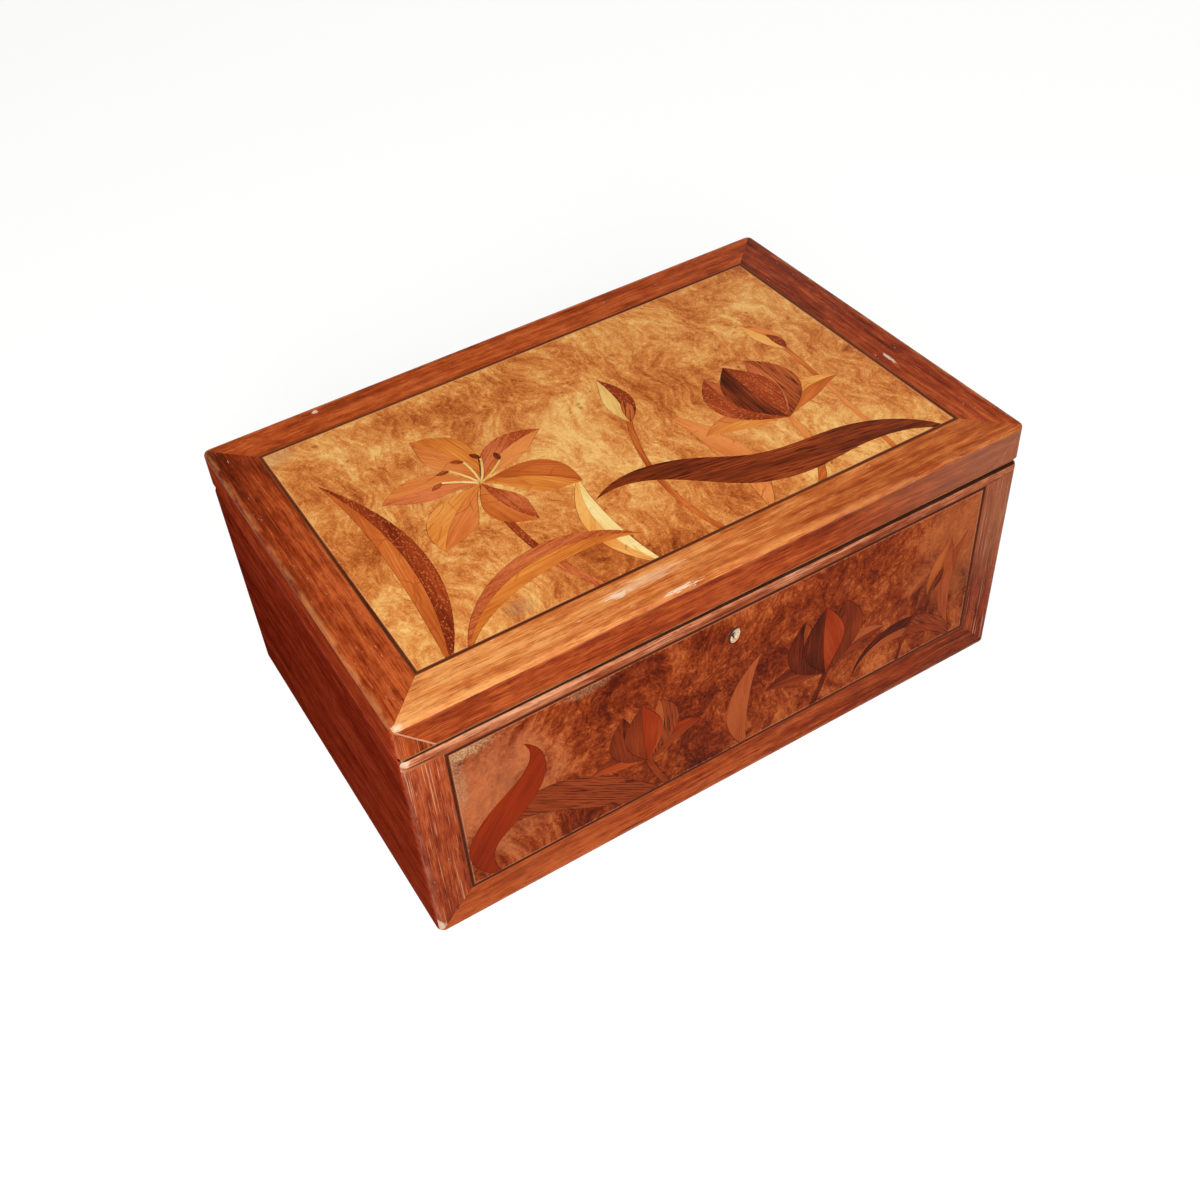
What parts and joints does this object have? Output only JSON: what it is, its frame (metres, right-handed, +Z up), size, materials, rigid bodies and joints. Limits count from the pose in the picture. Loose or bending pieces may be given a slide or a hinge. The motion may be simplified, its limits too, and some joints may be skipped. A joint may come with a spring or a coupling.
{
  "type": "marquetry box",
  "caption": "Rectangular wooden box with a hinged lid, floral marquetry panels in plain mitred frames, a keyhole in front and a flat base, for keeping small things.",
  "frame": {"origin": "centre of the underside of the case", "axes": "+X along the length, to the right as seen from the front; -Y towards the front, where the keyhole is; +Z up"},
  "size_m": [0.3, 0.197, 0.132],
  "materials": {
    "frame_wood": "French polished red-brown mahogany, worn at the arrises",
    "side_wood": "French polished dark red mahogany",
    "lid_burl": "French polished golden burl veneer",
    "front_burl": "French polished red-brown burl veneer",
    "pale_inlay": "French polished pale yellow veneer",
    "gold_inlay": "French polished orange-gold veneer",
    "tan_inlay": "French polished tan veneer",
    "red_inlay": "French polished red veneer",
    "brown_inlay": "French polished brown veneer",
    "dark_inlay": "French polished dark striped veneer",
    "string_core": "French polished dark stringing",
    "string_edge": "French polished pale stringing",
    "carcass_wood": "bare planed carcass wood",
    "bone": "aged bone",
    "brass": "dull brass",
    "steel": "dull steel"
  },
  "bodies": {
    "case": {"front_wall": "carcass_wood", "back_wall": "carcass_wood", "left_wall": "carcass_wood", "right_wall": "carcass_wood", "bottom_board": "carcass_wood", "front_left_stile": "frame_wood", "front_right_stile": "frame_wood", "front_top_rail": "frame_wood", "front_bottom_rail": "frame_wood", "front_string_core": "string_core", "front_string_edges": "string_edge", "front_burl_ground": "front_burl", "front_inlay_gold": "gold_inlay", "front_inlay_red": "red_inlay", "front_inlay_brown": "brown_inlay", "front_inlay_dark": "dark_inlay", "left_facing": "side_wood", "right_facing": "side_wood", "back_facing": "side_wood", "keyhole_escutcheon": "bone", "lock_plate": "brass", "lock_cap": "brass", "lock_drill_pin": "steel", "lock_screws": "brass", "hinge_left_case_leaf": "brass", "hinge_right_case_leaf": "brass", "hinge_pins": "steel", "hinge_case_screws": "brass"},
    "lid": {"lid_board": "carcass_wood", "lid_front_rim": "carcass_wood", "lid_back_rim": "carcass_wood", "lid_left_rim": "carcass_wood", "lid_right_rim": "carcass_wood", "lid_front_rail": "frame_wood", "lid_front_stile_tips": "frame_wood", "lid_left_facing": "side_wood", "lid_right_facing": "side_wood", "lid_back_facing": "side_wood", "lid_top_front_rail": "frame_wood", "lid_top_back_rail": "frame_wood", "lid_top_left_rail": "frame_wood", "lid_top_right_rail": "frame_wood", "lid_string_core": "string_core", "lid_string_edges": "string_edge", "lid_burl_ground": "lid_burl", "lid_inlay_pale": "pale_inlay", "lid_inlay_gold": "gold_inlay", "lid_inlay_tan": "tan_inlay", "lid_inlay_red": "red_inlay", "lid_inlay_dark": "dark_inlay", "hinge_left_lid_leaf": "brass", "hinge_right_lid_leaf": "brass", "hinge_lid_screws": "brass", "lock_link_plate": "brass", "link_screws": "brass"},
    "bolt": {"lock_bolt": "steel", "lock_spring": "steel"}
  },
  "joints": [
    {"name": "lid_hinge", "type": "hinge", "parent": "case", "child": "lid", "pos_m": [0, 0.0959, 0.1137], "axis": [-1, 0, 0], "range_deg": [0, 100]},
    {"name": "lock_bolt_slide", "type": "slide", "parent": "case", "child": "bolt", "axis": [1, 0, 0], "range_m": [0, 0.0032]}
  ]
}
